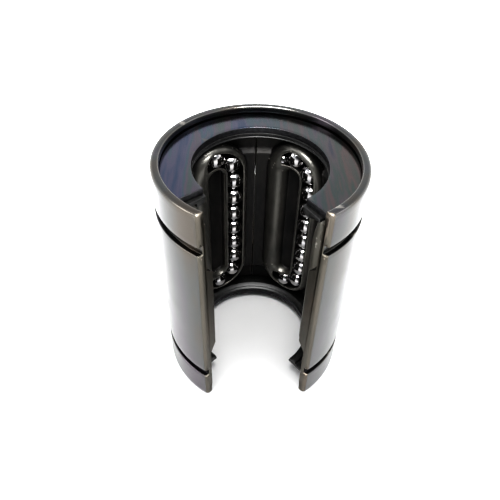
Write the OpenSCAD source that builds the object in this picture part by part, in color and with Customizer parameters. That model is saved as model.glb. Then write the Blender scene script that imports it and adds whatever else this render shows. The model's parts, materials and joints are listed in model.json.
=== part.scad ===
// Open linear ball bushing: a slotted hardened sleeve with four closed ball circuits,
// each carried by its own retainer segment, closed at both ends by a plate and a lip seal.
// The origin is on the bore axis at mid-length, +Z runs along the bore, the slot faces -Y.
// Azimuths are measured from +Y towards +X, so the slot is centred on 180 degrees.

/* [Sleeve] */
// Outside diameter of the sleeve
outer_d = 32; // [31.5:0.1:40]
// Length of the sleeve
length = 42; // [35:0.1:60]
// Rounding of the outer rim at both ends
rim_round = 0.5; // [0.2:0.05:0.8]
// Wall of the lip that closes each end of the bore
lip_wall = 1.3; // [1.1:0.05:1.4]
// How deep the ball tracks are sunk into the raceway land
raceway_depth = 0.572; // [0.4:0.01:0.8]
// Extra radius of the bore beyond the raceway land, at both ends
relief_depth = 1.5; // [1.2:0.05:1.6]

/* [Ring grooves] */
// Distance from each end of the sleeve to the outer edge of its ring groove
groove_end_gap = 5.75; // [4:0.05:7]
// Width of a ring groove
groove_w = 1.6; // [1:0.05:2]
// Depth of a ring groove
groove_depth = 0.75; // [0.3:0.05:0.85]

/* [Shaft and slot] */
// Diameter of the shaft that the balls run on
shaft_d = 20; // [16:0.1:20]
// Width of the slot where it meets the shaft
slot_w = 11; // [8:0.1:12]
// Angle between the two slot faces
slot_angle = 60; // [45:1:60]
// Chamfer on the outer edges of the slot
slot_edge = 0.8; // [0.1:0.05:1]

/* [Balls] */
// Diameter of a ball
ball_d = 3.572; // [2.9:0.001:3.6]
// Gap between two neighbouring balls of a row
row_gap = 0.028; // [0.02:0.001:0.08]
// Running clearance between a ball and its track
track_gap = 0.04; // [0.02:0.005:0.08]
// How much further from the axis the return row lies than the loaded row
return_rise = 1.114; // [0.9:0.01:1.3]

/* [Retainer] */
// Gap between the shaft and the retainer's bore, past which the loaded balls stand proud
retainer_gap = 0.6; // [0.5:0.05:0.7]
// Wall of the bead that follows the ball track
bead_wall = 0.36; // [0.25:0.01:0.45]
// Thickness of the retainer's shell between the beads
shell_wall = 0.85; // [0.6:0.05:1]
// Thickness of the retainer's shell at its two ends
end_shell_wall = 1.5; // [1:0.05:1.6]
// Gap between the retainer and the sleeve
retainer_fit = 0.05; // [0.03:0.01:0.1]
// Gap at the seam between two retainer segments
seam_gap = 0.12; // [0.06:0.01:0.3]

/* [End plates] */
// Depth of a plate's outer face below the end of the sleeve
plate_inset = 1.25; // [0.8:0.05:2]
// Thickness of a plate
plate_t = 1; // [0.6:0.05:1.2]
// Gap between the shaft and a plate's hole
plate_hole_gap = 0.15; // [0.1:0.05:0.4]
// How far a plate reaches into its groove
plate_grip = 0.4; // [0.3:0.05:0.5]
// Turn of the upper plate and seal about the bore axis, from the slot's centre line
upper_plate_turn = 9; // [-10:1:10]
// Turn of the lower plate and seal about the bore axis, from the slot's centre line
lower_plate_turn = 3; // [-10:1:10]

/* [Seals] */
// Gap between the shaft and the lip of a seal
lip_gap = 0.05; // [0.03:0.01:0.1]
// Width of the rubber disc behind a plate, outwards from the lip
seal_disc_w = 3.65; // [3:0.05:3.8]
// Width of the seal's body at its inner end, outwards from the lip
seal_body_w = 1.65; // [1.4:0.05:2.5]
// Thickness of the rubber disc behind a plate
seal_disc_t = 0.6; // [0.4:0.05:0.7]
// Height of a seal along the bore, from the plate to its inner end
seal_h = 1.25; // [1:0.05:1.6]
// How far a seal's ends reach past the ends of its plate, as an angle about the bore axis
seal_reach = 3; // [0:0.5:5]

/* [Hidden] */
$fn = 96;
CIRCUITS = 4;

outer_r = outer_d / 2;
half_length = length / 2;
shaft_r = shaft_d / 2;
ball_r = ball_d / 2;
over = 1;

// Ball circuits: two straight rows and two half-round turns in one tilted plane.
// Azimuth between neighbouring circuits: five places, of which the slot takes one.
circuit_step = 360 / (CIRCUITS + 1);
turn_balls = 3;
pitch = ball_d + row_gap;
turn_r = pitch / (2 * sin(90 / turn_balls));
track_r = ball_r + track_gap;
bead_r = track_r + bead_wall;
loaded_r = shaft_r + ball_r;
return_r = loaded_r + return_rise;
row_angle = acos((pow(loaded_r, 2) + pow(return_r, 2) - pow(2 * turn_r, 2)) / (2 * loaded_r * return_r)) / 2;
loaded_xy = loaded_r * [sin(row_angle), cos(row_angle)];
return_xy = return_r * [-sin(row_angle), cos(row_angle)];
circuit_xy = (loaded_xy + return_xy) / 2;
circuit_tilt = atan2(loaded_xy.y - return_xy.y, loaded_xy.x - return_xy.x);
function circuit_azimuth(n) = (n - (CIRCUITS + 1) / 2) * circuit_step;

// End stack, from the end of the sleeve inwards: lip, plate, seal, retainer.
seal_to_retainer = 0.1;
plate_outer_z = half_length - plate_inset;
plate_inner_z = plate_outer_z - plate_t;
retainer_end_z = plate_inner_z - seal_h - seal_to_retainer;

// The rows hold as many balls as fit between the ends of the retainer.
end_margin = 0.5;
balls_per_row = floor(2 * (retainer_end_z - end_margin - turn_r - bead_r) / pitch);
straight = balls_per_row * pitch;

// Bore of the sleeve.
land_r = shaft_r + ball_d - raceway_depth;
relief_r = land_r + relief_depth;
lip_r = outer_r - lip_wall;
plate_r = lip_r + plate_grip;
plate_groove_depth_gap = 0.15;
plate_groove_r = plate_r + plate_groove_depth_gap;
plate_groove_play = 0.2;
// The raceway land stops a little before the last balls of the rows.
land_end_gap = 2.35;
land_half = straight / 2 - land_end_gap;
inner_rim_round = 0.25;

// Retainer shell.
retainer_bore_r = shaft_r + retainer_gap;
shell_outer_r = land_r - retainer_fit;
end_shell_outer_r = relief_r - 2 * retainer_fit;
shell_r = shell_outer_r - shell_wall;
end_shell_r = end_shell_outer_r - end_shell_wall;
flare_z = straight / 2 + turn_r;
edge_azimuth = circuit_azimuth(CIRCUITS) + row_angle + asin(bead_r / loaded_r);

// Slot: its faces meet the shaft's surface slot_w apart.
slot_face_y = -sqrt(pow(shaft_r, 2) - pow(slot_w / 2, 2));
slot_out = [sin(slot_angle / 2), -cos(slot_angle / 2)];
slot_edge_out = [sin(slot_angle / 2 + 45), -cos(slot_angle / 2 + 45)];
slot_corner = [slot_w / 2, slot_face_y];
slot_dot = slot_corner * slot_out;
slot_face_len = -slot_dot + sqrt(pow(slot_dot, 2) + pow(outer_r, 2) - pow(shaft_r, 2));
slot_edge_start = slot_corner + (slot_face_len - slot_edge) * slot_out;
slot_edge_end = slot_edge_start + (slot_edge + over) * slot_edge_out;
slot_side = [slot_corner, slot_edge_start, slot_edge_end, slot_edge_end + outer_r * slot_out];

// Holes of the end plates and seals.
seal_lip_r = shaft_r + lip_gap;
plate_hole_r = shaft_r + plate_hole_gap;
plate_edge_round = 0.15;

// ---- helpers ----

// Removes the material outside a quarter circle at a convex corner of a profile.
// The profile lies on the sx, sy side of the corner.
module corner_cut(corner, r, sx, sy) {
    translate(corner) scale([sx, sy]) difference() {
        translate([-over, -over]) square(r + over);
        translate([r, r]) circle(r);
        translate([r, -over]) square([over, r + 2 * over]);
        translate([-over, r]) square([r + 2 * over, over]);
    }
}

// Revolves a profile between two azimuths.
module sector(from, to) {
    rotate_extrude(start = 90 - to, angle = to - from) children();
}

// Places children in the plane of circuit n: X from the return row to the loaded row,
// Y away from the shaft, Z along the bore.
module in_circuit(n) {
    rotate([0, 0, -circuit_azimuth(n)])
        translate([circuit_xy.x, circuit_xy.y, 0])
            rotate([0, 0, circuit_tilt]) children();
}

// The closed tube of radius r that follows a circuit.
module circuit_tube(r) {
    for (side = [-1, 1])
        translate([side * turn_r, 0, 0]) cylinder(r = r, h = straight, center = true);
    for (end = [0, 1])
        mirror([0, 0, end]) translate([0, 0, straight / 2]) rotate([90, 0, 0])
            rotate_extrude(angle = 180) translate([turn_r, 0]) circle(r);
}

// ---- sleeve ----

// What is cut from the sleeve's bore at one end: the relief, the plate's groove and the mouth.
module end_bore_profile() {
    polygon([[land_r - over, land_half],
             [land_r, land_half],
             [relief_r, land_half + relief_depth],
             [relief_r, half_length + over],
             [land_r - over, half_length + over]]);
    translate([relief_r - over, plate_inner_z - retainer_fit])
        square([plate_groove_r - relief_r + over, plate_t + retainer_fit + plate_groove_play]);
    translate([relief_r - over, plate_outer_z])
        square([lip_r - relief_r + over, plate_inset + over]);
    corner_cut([lip_r, half_length], inner_rim_round, 1, -1);
}

module sleeve_profile() {
    difference() {
        translate([land_r, -half_length]) square([outer_r - land_r, length]);
        for (end = [0, 1]) mirror([0, end]) {
            end_bore_profile();
            corner_cut([outer_r, half_length], rim_round, -1, -1);
            translate([outer_r - groove_depth, half_length - groove_end_gap - groove_w])
                square([groove_depth + over, groove_w]);
        }
    }
}

module slot_profile() {
    polygon(concat(slot_side, [for (i = [len(slot_side) - 1:-1:0]) [-slot_side[i].x, slot_side[i].y]]));
}

module outer_sleeve() {
    color([0.33, 0.32, 0.33]) difference() {
        rotate_extrude() sleeve_profile();
        translate([0, 0, -half_length - over]) linear_extrude(length + 2 * over) slot_profile();
        for (n = [1:CIRCUITS]) in_circuit(n) circuit_tube(track_r);
    }
}

// ---- retainer ----

// Half of the retainer's section, from the given inner radii at mid-length and at the end.
module shell_profile(mid_r, end_r) {
    polygon([[mid_r, 0],
             [mid_r, flare_z - (end_r - mid_r)],
             [end_r, flare_z],
             [end_r, retainer_end_z],
             [end_shell_outer_r, retainer_end_z],
             [end_shell_outer_r, land_half + relief_depth + retainer_fit],
             [shell_outer_r, land_half + retainer_fit],
             [shell_outer_r, 0]]);
}

module shell_section(mid_r, end_r) {
    for (end = [0, 1]) mirror([0, end]) shell_profile(mid_r, end_r);
}

module retainer_segment(n) {
    seam_angle = asin(seam_gap / 2 / shell_r);
    from = max(circuit_azimuth(n) - circuit_step / 2 + seam_angle, -edge_azimuth);
    to = min(circuit_azimuth(n) + circuit_step / 2 - seam_angle, edge_azimuth);
    color([0.13, 0.13, 0.12]) difference() {
        union() {
            sector(from, to) shell_section(shell_r, end_shell_r);
            intersection() {
                in_circuit(n) circuit_tube(bead_r);
                sector(from, to) shell_section(retainer_bore_r, retainer_bore_r);
            }
        }
        in_circuit(n) circuit_tube(track_r);
    }
}

// ---- end plates and seals ----

module end_plate(turn, end) {
    color([0.42, 0.44, 0.52]) mirror([0, 0, end]) rotate([0, 0, -turn])
        sector(-edge_azimuth, edge_azimuth) difference() {
            translate([plate_hole_r, plate_inner_z]) square([plate_r - plate_hole_r, plate_t]);
            corner_cut([plate_hole_r, plate_outer_z], plate_edge_round, 1, -1);
        }
}

// A disc under the plate and a body with two lips that wipe the shaft.
module seal_profile() {
    lip_h = 0.3;
    hollow_depth = 0.45;
    second_lip_gap = 0.1;
    inner_cone_w = 0.85;
    top = plate_inner_z;
    polygon([[seal_lip_r, top],
             [seal_lip_r, top - lip_h],
             [seal_lip_r + hollow_depth, top - seal_h * 0.5],
             [seal_lip_r + second_lip_gap, top - seal_h * 0.7],
             [seal_lip_r + inner_cone_w, top - seal_h],
             [seal_lip_r + seal_body_w, top - seal_h],
             [seal_lip_r + seal_body_w, top - seal_disc_t],
             [seal_lip_r + seal_disc_w, top - seal_disc_t],
             [seal_lip_r + seal_disc_w, top]]);
}

module end_seal(turn, end) {
    color([0.05, 0.05, 0.05]) mirror([0, 0, end]) rotate([0, 0, -turn])
        sector(-edge_azimuth - seal_reach, edge_azimuth + seal_reach) seal_profile();
}

// ---- balls ----

// The straight row of circuit n: side 1 is the loaded row, -1 the return row.
module row_balls(n, side) {
    color([0.85, 0.85, 0.86]) in_circuit(n)
        for (k = [0:balls_per_row - 1])
            translate([side * turn_r, 0, (k + 0.5) * pitch - straight / 2]) sphere(d = ball_d);
}

// The balls in one turn of circuit n: end 0 is the upper turn, 1 the lower.
module turn_group(n, end) {
    color([0.85, 0.85, 0.86]) in_circuit(n)
        mirror([0, 0, end]) translate([0, 0, straight / 2])
            for (k = [0:turn_balls - 1])
                rotate([0, -(k + 0.5) * 180 / turn_balls, 0]) translate([turn_r, 0, 0]) sphere(d = ball_d);
}

outer_sleeve();
end_plate(upper_plate_turn, 0);  // upper_end_plate
end_plate(lower_plate_turn, 1);  // lower_end_plate
end_seal(upper_plate_turn, 0);  // upper_seal
end_seal(lower_plate_turn, 1);  // lower_seal
for (n = [1:CIRCUITS]) {
    retainer_segment(n);
    row_balls(n, 1);
    row_balls(n, -1);
    turn_group(n, 0);
    turn_group(n, 1);
}
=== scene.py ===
"""Looks of an open linear ball bushing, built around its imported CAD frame.

All sizes are in metres, in the CAD frame: origin on the bore axis at mid-length, +Z along the bore,
slot towards -Y. Azimuths are measured from +Y towards +X, so the slot is centred on 180 degrees.
"""
import json
from math import acos, atan2, ceil, cos, hypot, pi, radians, sin, sqrt

import bmesh
import bpy
import numpy as np
from mathutils import Matrix, Vector


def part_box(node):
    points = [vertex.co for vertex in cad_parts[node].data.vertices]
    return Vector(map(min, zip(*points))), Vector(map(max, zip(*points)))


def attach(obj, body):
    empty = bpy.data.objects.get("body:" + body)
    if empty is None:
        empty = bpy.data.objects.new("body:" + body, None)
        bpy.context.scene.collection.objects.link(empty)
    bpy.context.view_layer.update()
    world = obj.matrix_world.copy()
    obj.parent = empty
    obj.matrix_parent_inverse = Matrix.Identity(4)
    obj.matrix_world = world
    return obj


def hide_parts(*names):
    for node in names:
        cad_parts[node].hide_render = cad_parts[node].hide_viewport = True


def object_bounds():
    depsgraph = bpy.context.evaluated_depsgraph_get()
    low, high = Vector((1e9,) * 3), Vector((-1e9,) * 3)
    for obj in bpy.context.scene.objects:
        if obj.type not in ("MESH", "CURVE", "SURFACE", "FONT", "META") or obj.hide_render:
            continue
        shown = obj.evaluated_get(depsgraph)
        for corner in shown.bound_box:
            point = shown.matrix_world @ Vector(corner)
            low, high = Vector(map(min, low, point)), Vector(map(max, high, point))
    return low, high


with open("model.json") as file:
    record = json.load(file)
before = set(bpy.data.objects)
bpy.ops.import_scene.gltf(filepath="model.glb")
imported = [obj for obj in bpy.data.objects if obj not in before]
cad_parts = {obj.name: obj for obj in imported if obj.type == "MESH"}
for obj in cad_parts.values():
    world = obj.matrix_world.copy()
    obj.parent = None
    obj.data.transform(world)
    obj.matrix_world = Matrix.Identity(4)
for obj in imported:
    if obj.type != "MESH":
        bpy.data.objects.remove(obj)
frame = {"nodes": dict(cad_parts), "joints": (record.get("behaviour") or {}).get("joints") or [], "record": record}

MM = 0.001
CAD_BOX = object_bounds()
LOW, HIGH = CAD_BOX

# Sizes that the frame doesn't state by itself, as in the CAD model.
GROOVE_W = 1.6 * MM
GROOVE_DEPTH = 0.75 * MM
GROOVE_END_GAP = 5.75 * MM
LIP_WALL = 1.3 * MM
PLATE_INSET = 1.25 * MM
RIM_ROUND = 0.5 * MM
SHAFT_R = 10 * MM
SLOT_W = 11 * MM
SLOT_ANGLE = radians(60)
LAND_R = 13 * MM
RELIEF_R = 14.5 * MM
LAND_HALF = 8.45 * MM
PLATE_T = 1 * MM
PLATE_PLAY = 0.2 * MM
PLATE_GROOVE_DEPTH = 0.55 * MM
SEAL_DISC_T = 0.6 * MM
SEAL_BODY_W = 1.65 * MM

# The plate's seat is drawn a little behind the plate, so that their faces don't coincide.
PLATE_BACK_PLAY = 0.05 * MM

# Room round the balls in the drawn tracks: more than in the CAD model, as the walls here are faceted.
TRACK_GAP = 0.12 * MM
TRACK_END = 17 * MM
BEAD_GAP = 0.065 * MM

# How finely the round pieces are divided.
TURN_STEPS = 25
SLEEVE_COLUMNS = 260
RING_COLUMNS = 180

# Rounding of the slot's edges, and how far below the outside it changes from one to the other.
SLOT_ROUND_INSIDE = 0.08 * MM
SLOT_ROUND_OUTSIDE = 0.55 * MM
SLOT_ROUND_DEEP = 0.9 * MM
SLOT_ROUND_SHALLOW = 0.3 * MM

OUTER_R = HIGH.x
HALF_LENGTH = HIGH.z


# ---- measuring the frame ----

def node_points(node):
    """The corner points of a CAD node, as an array."""
    mesh = frame["nodes"][node].data
    points = np.empty(len(mesh.vertices) * 3)
    mesh.vertices.foreach_get("co", points)
    return points.reshape(-1, 3)


def arc_span(node):
    """First and last azimuth of a C-shaped node, either side of its opening at the slot."""
    points = node_points(node)
    azimuth = np.arctan2(points[:, 0], points[:, 1])
    return azimuth.min(), azimuth.max()


def radius_span(node):
    """A node's least and greatest distance from the bore axis."""
    points = node_points(node)
    radii = np.hypot(points[:, 0], points[:, 1])
    return radii.min(), radii.max()


def ball_centres(node):
    """The centre of each ball in a node, and the balls' radius."""
    bm = bmesh.new()
    bm.from_mesh(frame["nodes"][node].data)
    bmesh.ops.remove_doubles(bm, verts=bm.verts, dist=0.002 * MM)
    left = set(bm.verts)
    centres = []
    radius = 0
    while left:
        island = [left.pop()]
        for vert in island:
            for edge in vert.link_edges:
                other = edge.other_vert(vert)
                if other in left:
                    left.remove(other)
                    island.append(other)
        points = np.array([v.co for v in island])
        centres.append(Vector((points.min(0) + points.max(0)) / 2))
        radius = (points[:, 2].max() - points[:, 2].min()) / 2
    bm.free()
    return centres, radius


def circuits():
    """Where each circuit's two turns lie: centre, inward normal, turn radius and ball radius."""
    rows = []
    for joint in frame["joints"]:
        if not joint["name"].startswith("upper_turn_spin_"):
            continue
        number = joint["name"][-1]
        centre = Vector(joint["pos_m"])
        balls, radius = ball_centres("loaded_balls_" + number)
        along = Vector((balls[0].x - centre.x, balls[0].y - centre.y, 0))
        rows.append({"centre": centre, "normal": Vector(joint["axis"]), "along": along.normalized(),
                     "turn_r": along.length, "ball_r": radius})
    return rows


CIRCUITS = circuits()


def track_reach(azimuth, z):
    """How far from the axis the ball tracks reach at an azimuth and height, or 0 where there is none."""
    radii = np.linspace(LAND_R - 1 * MM, LAND_R + 2 * MM, 61)
    x, y = radii * sin(azimuth), radii * cos(azimuth)
    reach = 0
    for c in CIRCUITS:
        dx, dy = x - c["centre"].x, y - c["centre"].y
        across = dx * c["along"].x + dy * c["along"].y
        out = dx * c["normal"].x + dy * c["normal"].y
        past = max(abs(z) - c["centre"].z, 0)
        inside = (np.hypot(across, past) - c["turn_r"]) ** 2 + out ** 2 < (c["ball_r"] + TRACK_GAP) ** 2
        if inside.any():
            reach = max(reach, radii[inside].max())
    return reach


# ---- mesh building ----

def new_object(name, mesh, body, materials, nodes=()):
    """Adds a mesh to the scene as a piece that rides on a body and stands for the given CAD nodes."""
    obj = bpy.data.objects.new(name, mesh)
    bpy.context.scene.collection.objects.link(obj)
    for material in materials:
        mesh.materials.append(material)
    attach(obj, body)
    if nodes:
        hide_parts(*nodes)
    return obj


def shade(mesh, angle):
    """Smooth shading with edges sharper than the angle kept crisp."""
    mesh.polygons.foreach_set("use_smooth", [True] * len(mesh.polygons))
    mesh.set_sharp_from_angle(angle=angle)


def arc(centre, radius, start, end, steps=5):
    """Points of a circular arc, angles in degrees."""
    return [(centre[0] + radius * cos(radians(start + (end - start) * i / steps)),
             centre[1] + radius * sin(radians(start + (end - start) * i / steps))) for i in range(steps + 1)]


def rounded(corners, radii, steps=4):
    """A closed outline with each corner rounded by its own radius."""
    points = []
    for i, corner in enumerate(corners):
        here = Vector(corner)
        before = (Vector(corners[i - 1]) - here).normalized()
        after = (Vector(corners[(i + 1) % len(corners)]) - here).normalized()
        half = acos(max(-1, min(1, before.dot(after)))) / 2
        radius = radii[i] if isinstance(radii, (list, tuple)) else radii
        if radius == 0 or half > radians(89):
            points.append((here.x, here.y))
            continue
        centre = here + (before + after).normalized() * radius / sin(half)
        first = here + before * radius / np.tan(half) - centre
        last = here + after * radius / np.tan(half) - centre
        turn = atan2(first.x * last.y - first.y * last.x, first.dot(last))
        for k in range(steps + 1):
            a = turn * k / steps
            points.append((centre.x + first.x * cos(a) - first.y * sin(a),
                           centre.y + first.x * sin(a) + first.y * cos(a)))
    return points


def subdivided(loop, step):
    """A closed outline with no stretch longer than the step."""
    points = []
    for i, start in enumerate(loop):
        end = loop[(i + 1) % len(loop)]
        parts = max(1, ceil(hypot(end[0] - start[0], end[1] - start[1]) / step))
        points += [(start[0] + (end[0] - start[0]) * k / parts,
                    start[1] + (end[1] - start[1]) * k / parts) for k in range(parts)]
    return points


def inset(loop, distances):
    """A closed outline moved inwards by a distance for each point, for one that runs counter-clockwise."""
    points = np.array(loop)
    before = points - np.roll(points, 1, axis=0)
    after = np.roll(points, -1, axis=0) - points
    before /= np.linalg.norm(before, axis=1)[:, None]
    after /= np.linalg.norm(after, axis=1)[:, None]
    inward = np.stack([-(before + after)[:, 1], (before + after)[:, 0]], axis=1)
    inward /= np.maximum(np.linalg.norm(inward, axis=1)[:, None], 1e-9)
    return points + inward * distances[:, None]


def join_rings(bm, here, there, slot=0):
    """A band of faces between two closed rings of as many points."""
    for i in range(len(here)):
        j = (i + 1) % len(here)
        bm.faces.new((here[i], here[j], there[j], there[i])).material_index = slot


def sweep(name, loop, first, last, end_round, columns, shape=None):
    """Sweeps a section round the axis between two ends, and rounds the edges of both end faces.

    first and last give an end's azimuth for a radius, and end_round the rounding at a radius. shape
    may move a section point, given its azimuth, radius and height. The end faces and their edges
    take the second material slot.
    """
    bm = bmesh.new()
    rounding = np.array([end_round(r) for r, _ in loop])
    steps = np.linspace(pi / 2, 0, 5)
    sections = [("first", a) for a in steps] + [("middle", k / columns) for k in range(1, columns)]
    sections += [("last", a) for a in steps[::-1]]
    rings = []
    for kind, place in sections:
        depth = 0 * rounding if kind == "middle" else rounding * (1 - cos(place))
        ring = []
        for (r, z), size in zip(inset(loop, depth), rounding):
            if kind == "middle":
                start, stop = first(r) + size / r, last(r) - size / r
                azimuth = start + (stop - start) * place
            else:
                past = size * (1 - sin(place)) / r
                azimuth = first(r) + past if kind == "first" else last(r) - past
            if shape and kind == "middle":
                r, z = shape(azimuth, r, z)
            ring.append(bm.verts.new((r * sin(azimuth), r * cos(azimuth), z)))
        rings.append(ring)
    for k, (here, there) in enumerate(zip(rings, rings[1:])):
        at_end = "middle" not in (sections[k][0], sections[k + 1][0])
        join_rings(bm, here, there, int(at_end))
    caps = [bm.faces.new(rings[0][::-1]), bm.faces.new(rings[-1])]
    for cap in caps:
        cap.material_index = 1
    bmesh.ops.recalc_face_normals(bm, faces=bm.faces)
    bmesh.ops.triangulate(bm, faces=caps)
    mesh = bpy.data.meshes.new(name)
    bm.to_mesh(mesh)
    bm.free()
    shade(mesh, radians(35))
    return mesh


# ---- materials ----

def shader(name, **settings):
    """A new material, its node tree and its main shader, with plain settings applied."""
    material = bpy.data.materials.new(name)
    material.use_nodes = True
    tree = material.node_tree
    principled = tree.nodes["Principled BSDF"]
    for socket, value in settings.items():
        principled.inputs[socket.replace("_", " ")].default_value = value
    return material, tree, principled


def add(tree, kind, **settings):
    """A node with plain settings applied, to its properties or to its sockets."""
    node = tree.nodes.new(kind)
    for key, value in settings.items():
        if hasattr(node, key):
            setattr(node, key, value)
        else:
            node.inputs[key.replace("_", " ")].default_value = value
    return node


def stretched(tree, scale):
    """Object coordinates scaled unevenly, so that a noise on them forms streaks."""
    coords = add(tree, "ShaderNodeTexCoord")
    mapping = add(tree, "ShaderNodeMapping", Scale=scale)
    tree.links.new(coords.outputs["Object"], mapping.inputs["Vector"])
    return mapping.outputs["Vector"]


def noise(tree, vector, scale, detail=4, roughness=0.5):
    """A noise factor on the given coordinates."""
    node = add(tree, "ShaderNodeTexNoise", Scale=scale, Detail=detail, Roughness=roughness)
    tree.links.new(vector, node.inputs["Vector"])
    return node.outputs["Fac"]


def ramp(tree, factor, stops):
    """Colours along a factor: stops are (position, colour)."""
    node = add(tree, "ShaderNodeValToRGB")
    elements = node.color_ramp.elements
    while len(elements) < len(stops):
        elements.new(0.5)
    for element, (position, colour) in zip(elements, stops):
        element.position = position
        element.color = (*colour, 1)
    tree.links.new(factor, node.inputs["Fac"])
    return node.outputs["Color"]


def span(tree, factor, low, high):
    """A factor mapped from 0..1 to a range."""
    node = add(tree, "ShaderNodeMapRange")
    node.inputs["To Min"].default_value = low
    node.inputs["To Max"].default_value = high
    tree.links.new(factor, node.inputs["Value"])
    return node.outputs["Result"]


def faded(tree, value, start, end, most=1):
    """A factor that goes from 0 to most as the value goes from start to end."""
    node = add(tree, "ShaderNodeMapRange")
    node.inputs["From Min"].default_value = start
    node.inputs["From Max"].default_value = end
    node.inputs["To Max"].default_value = most
    tree.links.new(value, node.inputs["Value"])
    return node.outputs["Result"]


def coordinate(tree, axis):
    """One of the object coordinates."""
    split = add(tree, "ShaderNodeSeparateXYZ")
    tree.links.new(stretched(tree, (1, 1, 1)), split.inputs["Vector"])
    return split.outputs[axis]


def distance_from_origin(tree, scale):
    """Distance from the origin, with each axis scaled first."""
    node = add(tree, "ShaderNodeVectorMath", operation="LENGTH")
    tree.links.new(stretched(tree, scale), node.inputs[0])
    return node.outputs["Value"]


def mixed(tree, factor, first, second, kind="RGBA"):
    """One colour or value fading into another by a factor."""
    node = add(tree, "ShaderNodeMix", data_type=kind)
    tree.links.new(factor, node.inputs["Factor"])
    tree.links.new(first, node.inputs["A"])
    tree.links.new(second, node.inputs["B"])
    return node.outputs["Result"]


def tinted(tree, factor, colour, tint):
    """A colour fading into a plain tint by a factor."""
    node = add(tree, "ShaderNodeMix", data_type="RGBA")
    tree.links.new(factor, node.inputs["Factor"])
    tree.links.new(colour, node.inputs["A"])
    node.inputs["B"].default_value = (*tint, 1)
    return node.outputs["Result"]


def bump(tree, principled, height, strength, distance):
    """Fine relief of a surface from a height factor."""
    node = add(tree, "ShaderNodeBump", Strength=strength, Distance=distance)
    tree.links.new(height, node.inputs["Height"])
    tree.links.new(node.outputs["Normal"], principled.inputs["Normal"])


def edge_wear_and_highlight(tree, colour, edge_tint):
    """Lightens a colour where the surface bends sharply outwards: edge wear on the sleeve and plates, a painted
    highlight on the retainer.
    """
    geometry = add(tree, "ShaderNodeNewGeometry")
    edge = ramp(tree, geometry.outputs["Pointiness"], [(0.52, (0, 0, 0)), (0.6, (1, 1, 1))])
    return tinted(tree, edge, colour, edge_tint)


def sleeve_steel():
    """Hardened and ground steel: dark, glossy, with fine lines round the axis and faint oil tints."""
    material, tree, principled = shader("sleeve_steel", Metallic=1.0)
    tint = noise(tree, stretched(tree, (1, 1, 0.35)), 140, 3)
    colour = ramp(tree, tint, [(0.32, (0.068, 0.059, 0.069)), (0.5, (0.064, 0.066, 0.064)),
                               (0.68, (0.070, 0.062, 0.053))])
    tree.links.new(edge_wear_and_highlight(tree, colour, (0.22, 0.21, 0.19)), principled.inputs["Base Color"])
    lines = noise(tree, stretched(tree, (0.02, 0.02, 1)), 9000, 3)
    smudge = noise(tree, stretched(tree, (1, 1, 1)), 260, 5)
    tree.links.new(span(tree, smudge, 0.12, 0.3), principled.inputs["Roughness"])
    bump(tree, principled, lines, 0.12, 0.004 * MM)
    return material


def slot_steel():
    """The milled faces of the slot: satin, with a brownish temper colour and lines along the bore."""
    material, tree, principled = shader("slot_steel", Metallic=1.0)
    tint = noise(tree, stretched(tree, (1, 1, 0.2)), 320, 4)
    colour = ramp(tree, tint, [(0.3, (0.055, 0.050, 0.041)), (0.5, (0.070, 0.066, 0.056)),
                               (0.7, (0.085, 0.070, 0.056))])
    tree.links.new(edge_wear_and_highlight(tree, colour, (0.16, 0.14, 0.12)), principled.inputs["Base Color"])
    lines = noise(tree, stretched(tree, (1, 1, 0.03)), 6000, 3)
    tree.links.new(span(tree, lines, 0.38, 0.55), principled.inputs["Roughness"])
    bump(tree, principled, lines, 0.15, 0.005 * MM)
    return material


def cut_edge():
    """The sheared ends of a plate: dark, dull and a little torn."""
    material, tree, principled = shader("cut_edge", Metallic=1.0)
    torn = noise(tree, stretched(tree, (1, 1, 2)), 1800, 5)
    colour = ramp(tree, torn, [(0.3, (0.014, 0.014, 0.015)), (0.7, (0.032, 0.032, 0.034))])
    tree.links.new(colour, principled.inputs["Base Color"])
    tree.links.new(span(tree, torn, 0.45, 0.65), principled.inputs["Roughness"])
    bump(tree, principled, torn, 0.3, 0.02 * MM)
    return material


def plate_steel():
    """Blued spring steel: mirror-like, with faint coloured streaks."""
    material, tree, principled = shader("plate_steel", Metallic=1.0)
    streaks = noise(tree, stretched(tree, (1, 0.12, 1)), 420, 4)
    blue = ramp(tree, streaks, [(0.34, (0.042, 0.054, 0.082)), (0.43, (0.070, 0.068, 0.094)),
                                (0.5, (0.052, 0.072, 0.084)), (0.57, (0.082, 0.070, 0.084)),
                                (0.66, (0.062, 0.074, 0.072))])
    brown = ramp(tree, streaks, [(0.34, (0.046, 0.046, 0.056)), (0.43, (0.074, 0.066, 0.066)),
                                 (0.5, (0.054, 0.064, 0.058)), (0.57, (0.084, 0.066, 0.062)),
                                 (0.66, (0.060, 0.064, 0.058))])
    across = faded(tree, coordinate(tree, "X"), -4 * MM, 12 * MM)
    colour = mixed(tree, across, blue, brown)
    tree.links.new(edge_wear_and_highlight(tree, colour, (0.09, 0.09, 0.087)), principled.inputs["Base Color"])
    grain = noise(tree, stretched(tree, (1, 0.1, 1)), 5000, 3)
    tree.links.new(span(tree, grain, 0.1, 0.24), principled.inputs["Roughness"])
    bump(tree, principled, grain, 0.08, 0.004 * MM)
    return material


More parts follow.
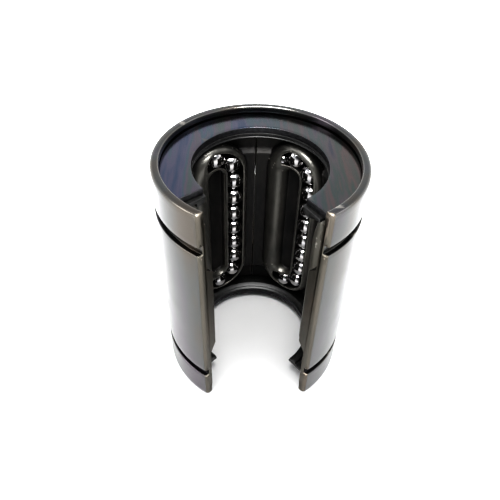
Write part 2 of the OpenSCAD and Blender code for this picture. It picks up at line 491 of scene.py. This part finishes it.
def retainer_steel():
    """Pressed steel with a black oxide. Its raised beads, its side towards the slot and its edges are painted
    lighter, as painted highlight and painted reflection, and its sunken shell darker, as painted shade.
    """
    material, tree, principled = shader("retainer_steel", Metallic=0.5, Specular_IOR_Level=0.25)
    patches = noise(tree, stretched(tree, (1, 1, 0.5)), 350, 5)
    # Painted highlight and painted shade: the raised beads get a lighter colour than the sunken shell.
    shell = ramp(tree, patches, [(0.35, (0.006, 0.006, 0.006)), (0.65, (0.014, 0.013, 0.012))])
    bead = ramp(tree, patches, [(0.35, (0.056, 0.055, 0.050)), (0.65, (0.088, 0.085, 0.076))])
    raised = faded(tree, distance_from_origin(tree, (1, 1, 0)), LAND_R - 1.1 * MM, LAND_R - 1.8 * MM)
    # Painted reflection of the bright floor: the retainer's colour lightens towards the slot.
    slot_side_reflection = faded(tree, coordinate(tree, "Y"), -5 * MM, -9.5 * MM)
    colour = tinted(tree, slot_side_reflection, mixed(tree, raised, shell, bead), (0.10, 0.095, 0.08))
    # Painted highlight: the lightened rounded edges stand in for bright lines along the islands and bead tops.
    tree.links.new(edge_wear_and_highlight(tree, colour, (0.22, 0.21, 0.19)), principled.inputs["Base Color"])
    grain = noise(tree, stretched(tree, (1, 1, 0.3)), 2500, 4)
    satin = mixed(tree, raised, span(tree, grain, 0.5, 0.65), span(tree, grain, 0.28, 0.42), "FLOAT")
    tree.links.new(satin, principled.inputs["Roughness"])
    bump(tree, principled, grain, 0.15, 0.006 * MM)
    return material


def seal_rubber():
    """Black moulded rubber."""
    material, tree, principled = shader("seal_rubber", Specular_IOR_Level=0.2)
    specks = noise(tree, stretched(tree, (1, 1, 1)), 2200, 5)
    colour = ramp(tree, specks, [(0.35, (0.010, 0.010, 0.010)), (0.7, (0.022, 0.022, 0.021))])
    tree.links.new(colour, principled.inputs["Base Color"])
    tree.links.new(span(tree, specks, 0.3, 0.5), principled.inputs["Roughness"])
    bump(tree, principled, specks, 0.25, 0.01 * MM)
    return material


def ball_steel():
    """Polished bearing steel with faint wear marks."""
    material, tree, principled = shader("ball_steel", Metallic=1.0)
    wear = noise(tree, stretched(tree, (1, 1, 1)), 900, 4)
    colour = ramp(tree, wear, [(0.3, (0.22, 0.22, 0.23)), (0.7, (0.29, 0.28, 0.27))])
    tree.links.new(colour, principled.inputs["Base Color"])
    tree.links.new(span(tree, wear, 0.04, 0.12), principled.inputs["Roughness"])
    return material


def floor_white():
    """White paper with a painted glow that grows the further it lies from the bushing, leaving it darker near the
    bushing as painted shade.
    """
    material, tree, principled = shader("floor_white", Roughness=0.6)
    paper = noise(tree, stretched(tree, (1, 1, 1)), 60, 2)
    colour = ramp(tree, paper, [(0.4, (0.85, 0.85, 0.845)), (0.6, (0.87, 0.87, 0.865))])
    tree.links.new(colour, principled.inputs["Base Color"])
    # Painted light: the paper glows, weakest near the bushing, so that its darkening there is painted shade.
    glow = faded(tree, distance_from_origin(tree, (1, 1, 1)), OUTER_R, 5 * OUTER_R, 1.2)
    principled.inputs["Emission Color"].default_value = (1, 1, 1, 1)
    tree.links.new(glow, principled.inputs["Emission Strength"])
    return material


# ---- pieces ----

def slot_azimuth(r):
    """Azimuth, from the slot's centre line, where a slot face crosses a radius."""
    out = Vector((sin(SLOT_ANGLE / 2), cos(SLOT_ANGLE / 2)))
    corner = Vector((SLOT_W / 2, sqrt(SHAFT_R ** 2 - (SLOT_W / 2) ** 2)))
    along = corner.dot(out)
    point = corner + out * (-along + sqrt(along ** 2 + r ** 2 - SHAFT_R ** 2))
    return atan2(point.x, point.y)


def sleeve_section():
    """The sleeve's section, counter-clockwise from its upper outer rim."""
    groove = HALF_LENGTH - GROOVE_END_GAP
    plate_out = HALF_LENGTH - PLATE_INSET
    plate_in = plate_out - PLATE_T - PLATE_BACK_PLAY
    lip_r = OUTER_R - LIP_WALL
    plate_groove_r = lip_r + PLATE_GROOVE_DEPTH
    floor_r = OUTER_R - GROOVE_DEPTH
    fine, soft = 0.06 * MM, 0.12 * MM
    half = [((OUTER_R, groove - GROOVE_W), soft), ((floor_r, groove - GROOVE_W), fine),
            ((floor_r, groove), fine), ((OUTER_R, groove), soft),
            ((OUTER_R, HALF_LENGTH), RIM_ROUND), ((lip_r, HALF_LENGTH), 0.3 * MM),
            ((lip_r, plate_out + PLATE_PLAY), fine), ((plate_groove_r, plate_out + PLATE_PLAY), fine),
            ((plate_groove_r, plate_in), fine), ((RELIEF_R, plate_in), fine),
            ((RELIEF_R, LAND_HALF + RELIEF_R - LAND_R), 0.2 * MM), ((LAND_R, LAND_HALF), 0.2 * MM)]
    corners = [p for p, _ in half] + [(r, -z) for (r, z), _ in half[::-1]]
    radii = [s for _, s in half] + [s for _, s in half[::-1]]
    return subdivided(rounded(corners, radii), 0.8 * MM)


def sleeve_inside(azimuth, r, z):
    """Sinks the ball tracks into the sleeve's bore."""
    if r > RELIEF_R + 0.01 * MM or abs(z) > TRACK_END:
        return r, z
    return max(r, track_reach(azimuth, z)), z


def slot_rounding(r):
    """The slot's edges are rounded broadly outside and only eased inside."""
    deep = OUTER_R - SLOT_ROUND_DEEP
    shallow = OUTER_R - SLOT_ROUND_SHALLOW
    outside = min(max((r - deep) / (shallow - deep), 0), 1)
    return SLOT_ROUND_INSIDE + (SLOT_ROUND_OUTSIDE - SLOT_ROUND_INSIDE) * outside ** 2 * (3 - 2 * outside)


def outer_sleeve(materials):
    """The slotted sleeve, with its grooves, rims and ball tracks."""
    mesh = sweep("outer_sleeve", sleeve_section(), lambda r: slot_azimuth(r) - pi,
                 lambda r: pi - slot_azimuth(r), slot_rounding, SLEEVE_COLUMNS, sleeve_inside)
    return new_object("sleeve_body", mesh, "sleeve", materials, ["outer_sleeve"])


def end_plate(which, materials):
    """A C-shaped plate with a rounded hole edge and eased ends."""
    node = which + "_end_plate"
    low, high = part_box(node)
    start, stop = arc_span(node)
    inner, outer = radius_span(node)
    edge_round, end_round, hole_wall = 0.08 * MM, 0.12 * MM, 0.03 * MM
    section = rounded([(inner, low.z), (outer, low.z), (outer, high.z), (inner, high.z)], edge_round)
    mesh = sweep(node, subdivided(section, 0.6 * MM), lambda r: start, lambda r: stop,
                 lambda r: end_round, RING_COLUMNS)
    for face in mesh.polygons:
        if hypot(face.center.x, face.center.y) < inner + hole_wall:
            face.material_index = 1
    return new_object(which + "_plate", mesh, "sleeve", materials, [node])


def end_seal(which, materials):
    """A rubber ring behind a plate, with two wiping lips, swept between its moulded ends."""
    node = which + "_seal"
    low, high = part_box(node)
    side = 1 if which == "upper" else -1
    top = high.z if side > 0 else low.z
    height = high.z - low.z
    start, stop = arc_span(node)
    lip, disc = radius_span(node)
    body = lip + SEAL_BODY_W
    first_lip_t = 0.3 * MM
    second_lip = (lip + 0.1 * MM, 0.7 * height)
    notch = (lip + 0.45 * MM, 0.5 * height)
    back_r = lip + 0.85 * MM
    outline = [(lip, 0), (disc, 0), (disc, SEAL_DISC_T), (body, SEAL_DISC_T), (body, height),
               (back_r, height), second_lip, notch, (lip, first_lip_t)]
    edge_round, end_round = 0.07 * MM, 0.1 * MM
    section = rounded([(r, top - side * depth) for r, depth in outline], edge_round)
    if side > 0:
        section = section[::-1]
    mesh = sweep(node, subdivided(section, 0.4 * MM), lambda r: start, lambda r: stop,
                 lambda r: end_round, RING_COLUMNS)
    return new_object(which + "_lip_seal", mesh, "sleeve", materials, [node])


def bead_outline(track_r):
    """The bead's section outside a ball track: how far out from the track, and towards the shaft."""
    track_wall = arc((0, 0), track_r, -12, 45, 6)
    dome_centre, dome_r = (1.35 * MM, 0.32 * MM), 1.05 * MM
    dome = arc(dome_centre, dome_r, 95, 5, 9)
    foot = [(2.42 * MM, -0.1 * MM), (2.6 * MM, -0.45 * MM)]
    return track_wall + dome + foot


def add_bead(bm, circuit):
    """Adds the rounded bead that runs round the outside of a circuit."""
    upper = circuit["centre"]
    lower = Vector((upper.x, upper.y, -upper.z))
    outline = bead_outline(circuit["ball_r"] + BEAD_GAP)
    rings = []
    for centre, start in ((upper, 0), (lower, pi)):
        for angle in np.linspace(start, start + pi, TURN_STEPS):
            out = circuit["along"] * cos(angle) + Vector((0, 0, sin(angle)))
            rings.append([bm.verts.new(centre + out * (circuit["turn_r"] + u) + circuit["normal"] * v)
                          for u, v in outline])
    for here, there in zip(rings, rings[1:] + rings[:1]):
        join_rings(bm, there, here)
    bmesh.ops.recalc_face_normals(bm, faces=bm.faces)


def retainer_segment(number, material):
    """A pressed segment: the CAD solid with a fuller bead, remeshed finely and relaxed."""
    node = f"retainer_segment_{number}"
    bm = bmesh.new()
    add_bead(bm, CIRCUITS[number - 1])
    bm.from_mesh(frame["nodes"][node].data)
    mesh = bpy.data.meshes.new(f"retainer_pressing_{number}")
    bm.to_mesh(mesh)
    bm.free()
    obj = new_object(f"retainer_{number}", mesh, "sleeve", [material], [node])
    remesh = obj.modifiers.new("fine", "REMESH")
    remesh.mode = "VOXEL"
    remesh.voxel_size = 0.11 * MM
    relax = obj.modifiers.new("relax", "SMOOTH")
    relax.factor = 0.5
    relax.iterations = 8
    bpy.context.view_layer.update()
    depsgraph = bpy.context.evaluated_depsgraph_get()
    smooth = bpy.data.meshes.new_from_object(obj.evaluated_get(depsgraph))
    obj.modifiers.clear()
    obj.data = smooth
    smooth.polygons.foreach_set("use_smooth", [True] * len(smooth.polygons))
    smooth.materials.clear()
    smooth.materials.append(material)
    return obj


def ball_group(node, body, material):
    """The balls of one node as smooth spheres."""
    centres, radius = ball_centres(node)
    bm = bmesh.new()
    for centre in centres:
        bmesh.ops.create_icosphere(bm, subdivisions=5, radius=radius, matrix=Matrix.Translation(centre))
    mesh = bpy.data.meshes.new(node)
    bm.to_mesh(mesh)
    bm.free()
    mesh.polygons.foreach_set("use_smooth", [True] * len(mesh.polygons))
    return new_object(node.replace("_balls_", "_ball_set_"), mesh, body, [material], [node])


def build_bushing():
    """Every piece, each with its material."""
    outer_sleeve([sleeve_steel(), slot_steel()])
    plate = [plate_steel(), cut_edge()]
    rubber = seal_rubber()
    for which in ("upper", "lower"):
        end_plate(which, plate)
        end_seal(which, [rubber, rubber])
    black, chrome = retainer_steel(), ball_steel()
    for number in range(1, len(CIRCUITS) + 1):
        retainer_segment(number, black)
    for body, nodes in frame["record"]["behaviour"]["bodies"].items():
        for node in nodes:
            if "_balls_" in node:
                ball_group(node, body, chrome)


# ---- stage ----

def build_floor():
    """A wide sheet of paper under the bushing."""
    half_side = 1.2
    bm = bmesh.new()
    bmesh.ops.create_grid(bm, x_segments=8, y_segments=8, size=half_side)
    mesh = bpy.data.meshes.new("floor")
    bm.to_mesh(mesh)
    bm.free()
    floor = bpy.data.objects.new("floor", mesh)
    floor.location.z = LOW.z
    bpy.context.scene.collection.objects.link(floor)
    mesh.materials.append(floor_white())


def area_light(name, place, width, height, radiance):
    """A soft box that is as bright as the radiance, aimed at the bushing."""
    light = bpy.data.lights.new(name, "AREA")
    light.shape = "RECTANGLE"
    light.size = width
    light.size_y = height
    light.energy = radiance * pi * width * height
    obj = bpy.data.objects.new(name, light)
    obj.location = place
    obj.rotation_euler = (-Vector(place)).to_track_quat("-Z", "Y").to_euler()
    bpy.context.scene.collection.objects.link(obj)
    return obj


def build_world():
    """A pale sky, darker over the front."""
    world = bpy.data.worlds.new("studio")
    bpy.context.scene.world = world
    world.use_nodes = True
    tree = world.node_tree
    coords = add(tree, "ShaderNodeTexCoord")
    split = add(tree, "ShaderNodeSeparateXYZ")
    tree.links.new(coords.outputs["Generated"], split.inputs["Vector"])
    sky = ramp(tree, split.outputs["Z"], [(0.0, (1.0, 1.0, 1.0)), (0.25, (1.0, 1.0, 1.0)),
                                          (0.5, (0.62, 0.63, 0.66)), (0.75, (0.5, 0.51, 0.53)),
                                          (1.0, (0.8, 0.8, 0.8))])
    # Whoever holds the camera shades the front.
    toward = add(tree, "ShaderNodeVectorMath", operation="DOT_PRODUCT")
    camera_side = (0, -0.82, 0.57)
    toward.inputs[1].default_value = camera_side
    tree.links.new(coords.outputs["Generated"], toward.inputs[0])
    shade_front = ramp(tree, toward.outputs["Value"], [(0.78, (1, 1, 1)), (0.94, (0.1, 0.1, 0.1))])
    mix = add(tree, "ShaderNodeMix", data_type="RGBA", blend_type="MULTIPLY")
    mix.inputs["Factor"].default_value = 1
    tree.links.new(sky, mix.inputs["A"])
    tree.links.new(shade_front, mix.inputs["B"])
    tree.links.new(mix.outputs["Result"], tree.nodes["Background"].inputs["Color"])
    tree.nodes["Background"].inputs["Strength"].default_value = 2.3


def build_lights():
    """Four soft boxes. The strip shows in reflections only."""
    area_light("overhead", (0, -0.03, 0.40), width=0.10, height=0.10, radiance=20)
    strip = area_light("strip", (-0.02, -0.19, 0.34), width=0.30, height=0.12, radiance=60)
    strip.visible_diffuse = False
    area_light("left_window", (-0.40, -0.06, 0.26), width=0.14, height=0.20, radiance=7)
    area_light("right_window", (0.40, -0.02, 0.26), width=0.14, height=0.20, radiance=2)


def build_camera():
    """The camera stands 90 mm from a point near mid-length, 44 degrees up and slightly to the left."""
    azimuth, elevation, roll = radians(-2.98), radians(43.64), radians(1.791)
    back = Vector((sin(azimuth) * cos(elevation), -cos(azimuth) * cos(elevation), sin(elevation)))
    right = Vector((cos(azimuth), sin(azimuth), 0))
    up = back.cross(right)
    aim = right * -1.136 * MM + up * 1.597 * MM
    distance = 90.28 * MM
    right, up = right * cos(roll) + up * sin(roll), up * cos(roll) - right * sin(roll)
    camera = bpy.data.cameras.new("camera")
    camera.sensor_width = 36
    camera.lens = 37.73
    camera.clip_start = 1 * MM
    obj = bpy.data.objects.new("camera", camera)
    obj.matrix_world = Matrix((right, up, back)).transposed().to_4x4()
    obj.location = aim + back * distance
    bpy.context.scene.collection.objects.link(obj)
    bpy.context.scene.camera = obj


bpy.context.scene.view_settings.view_transform = "Standard"
bpy.context.scene.view_settings.look = "High Contrast"
build_camera()
build_world()
build_lights()
build_floor()
build_bushing()
